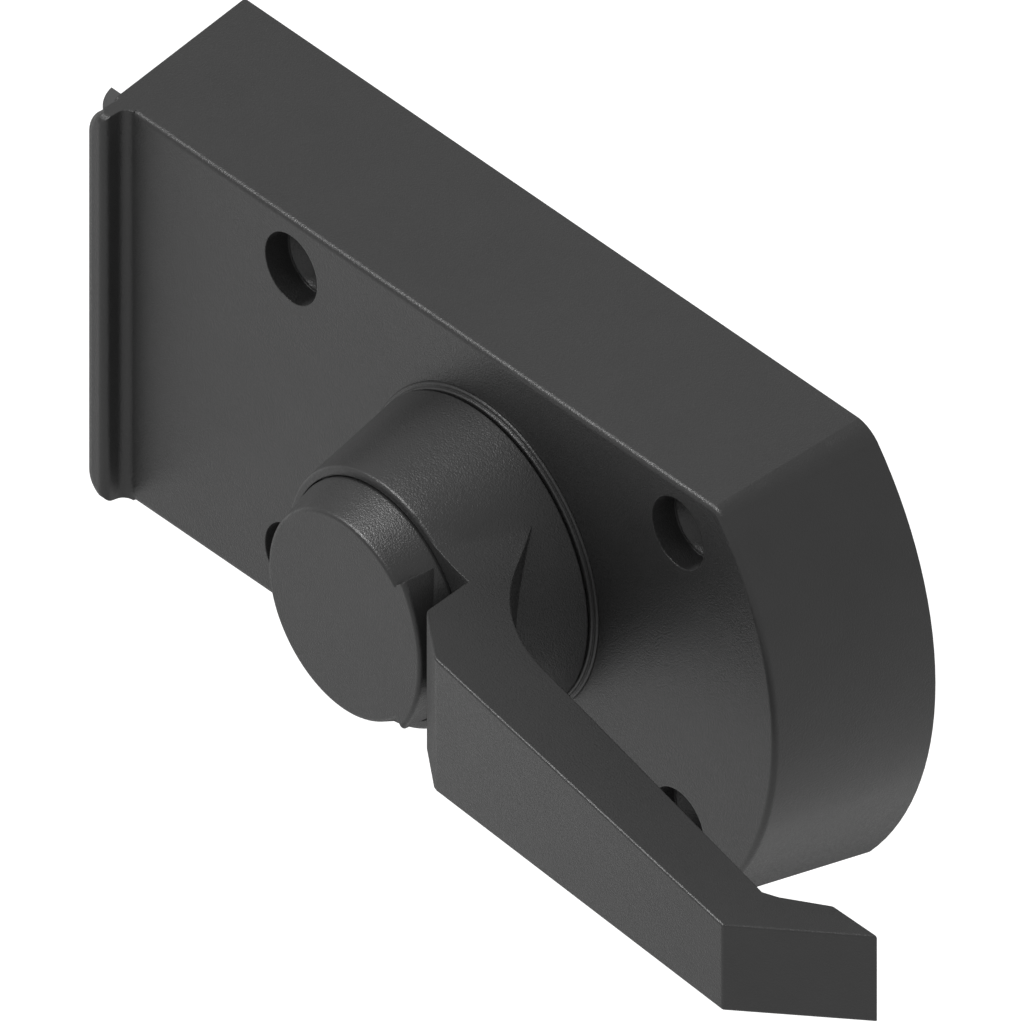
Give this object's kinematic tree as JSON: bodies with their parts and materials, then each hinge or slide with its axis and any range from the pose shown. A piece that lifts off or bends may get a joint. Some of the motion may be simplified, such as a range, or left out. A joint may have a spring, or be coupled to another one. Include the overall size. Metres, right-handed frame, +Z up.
{
  "type": "rim door lock",
  "caption": "Surface-mounted door lock: drafted case with a round end, sprung latch bolt, lever handle and a turn button that locks the lever.",
  "frame": {"origin": "on the spindle axis, in the back face of the case, at the centre of the mounting holes", "axes": "+X away from the latch bolt along the case, +Y into the door, +Z up"},
  "size_m": [0.158, 0.046, 0.0558],
  "materials": {
    "case": "matte black fine-textured powder coat",
    "handle": "matte black fine-textured powder coat",
    "plate": "zinc plated",
    "screw": "zinc plated",
    "bush": "natural nylon",
    "sinter": "sintered steel",
    "steel": "machined",
    "spring": "drawn spring wire",
    "brass": "machined",
    "bolt": "blackened, satin"
  },
  "bodies": {
    "case": {"case": "case", "back_plate": "plate", "back_plate_screws": "screw", "rose_ring": "case", "front_bush": "bush", "rear_bush": "bush", "lock_ring": "sinter", "lock_ring_screws": "screw", "spring_post": "screw", "lever_spring": "spring"},
    "lever": {"lever_handle": "handle", "lever_grub_screw": "screw", "follower": "steel", "spring_washer": "spring"},
    "button": {"turn_button": "handle", "button_spindle": "steel", "retaining_clip": "spring"},
    "locking_bar": {"locking_bar": "brass"},
    "carriage": {"carriage": "steel", "guide_pin": "screw", "bolt_spring": "spring"},
    "bolt": {"latch_bolt": "bolt"}
  },
  "joints": [
    {"name": "lever_turn", "type": "hinge", "parent": "case", "child": "lever", "pos_m": [0, -0.02, 0], "axis": [0, 1, 0], "range_deg": [0, 45], "stiffness_Nm_per_rad": 0.5, "springref_deg": -20.05, "deforming": ["lever_spring"]},
    {"name": "carriage_slide", "type": "slide", "parent": "case", "child": "carriage", "axis": [1, 0, 0], "range_m": [0, 0.01333]},
    {"name": "bolt_slide", "type": "slide", "parent": "carriage", "child": "bolt", "axis": [1, 0, 0], "range_m": [0, 0.0133], "stiffness_N_per_m": 300, "springref_m": -0.01, "deforming": ["bolt_spring"]},
    {"name": "button_turn", "type": "hinge", "parent": "lever", "child": "button", "pos_m": [0, -0.03, 0], "axis": [0, 1, 0], "range_deg": [0, 90]},
    {"name": "locking_bar_slide", "type": "slide", "parent": "lever", "child": "locking_bar", "axis": [0, 0, -1], "range_m": [0, 0.0024]}
  ],
  "couplings": [
    {"joint": "carriage_slide", "follows": "lever_turn", "m_per_rad": 0.016956},
    {"joint": "button_turn", "follows": "locking_bar_slide", "rad_per_m": 653.38}
  ]
}
